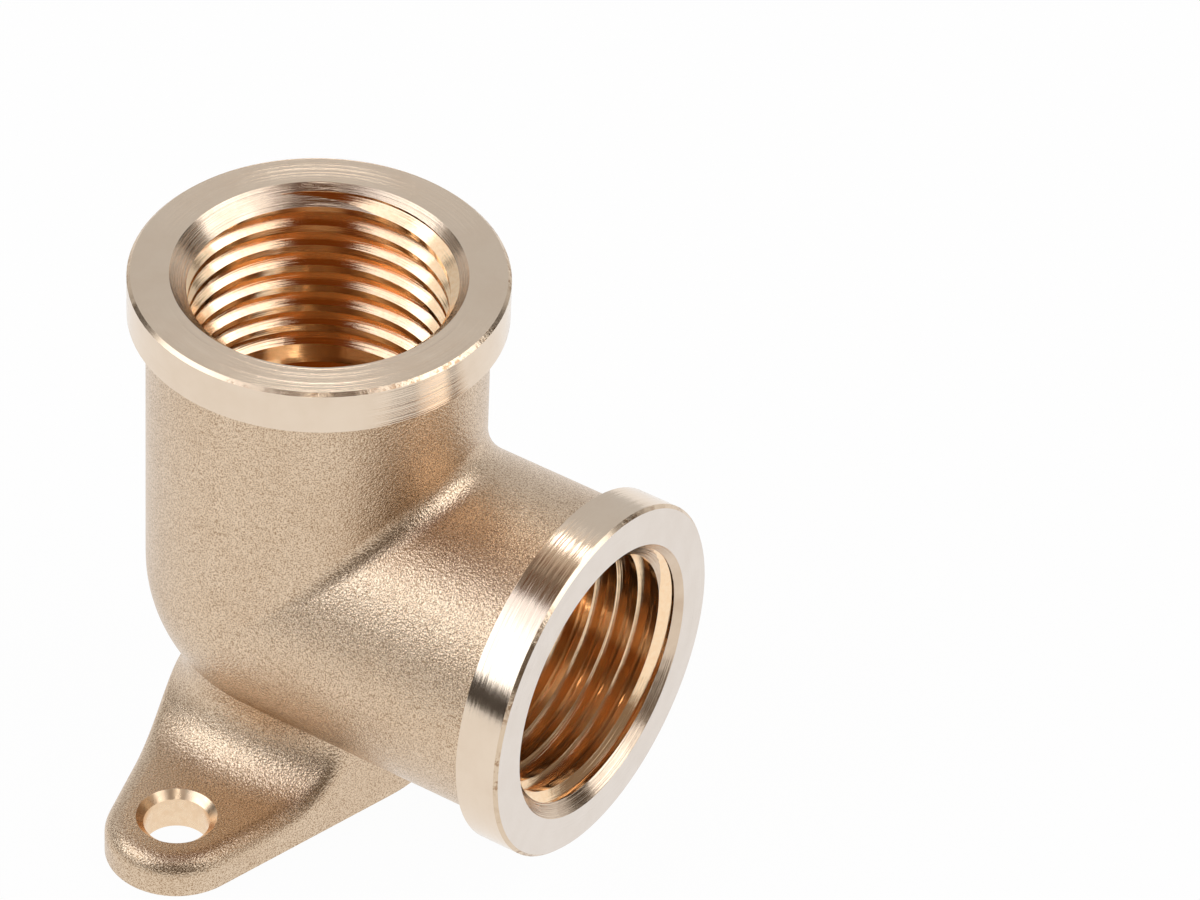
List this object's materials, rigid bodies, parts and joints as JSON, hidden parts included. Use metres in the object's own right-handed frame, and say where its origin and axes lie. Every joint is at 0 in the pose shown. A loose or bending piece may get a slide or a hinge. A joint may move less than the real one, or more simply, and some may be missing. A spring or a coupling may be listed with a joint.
{
  "type": "wall plate elbow",
  "caption": "Right-angle brass pipe elbow on an eared wall plate with screw holes: a tapped outlet faces out from the wall and a tapped inlet runs along it.",
  "frame": {"origin": "on the flat back of the wall plate, on the outlet's axis", "axes": "+Z along the outlet, away from the wall; +X along the inlet; the ears lie along Y"},
  "size_m": [0.0386, 0.0446, 0.042],
  "materials": {
    "brass": "sand-blasted casting, turned bright at the ports"
  },
  "bodies": {
    "root": {"elbow_body": "brass"}
  },
  "joints": []
}
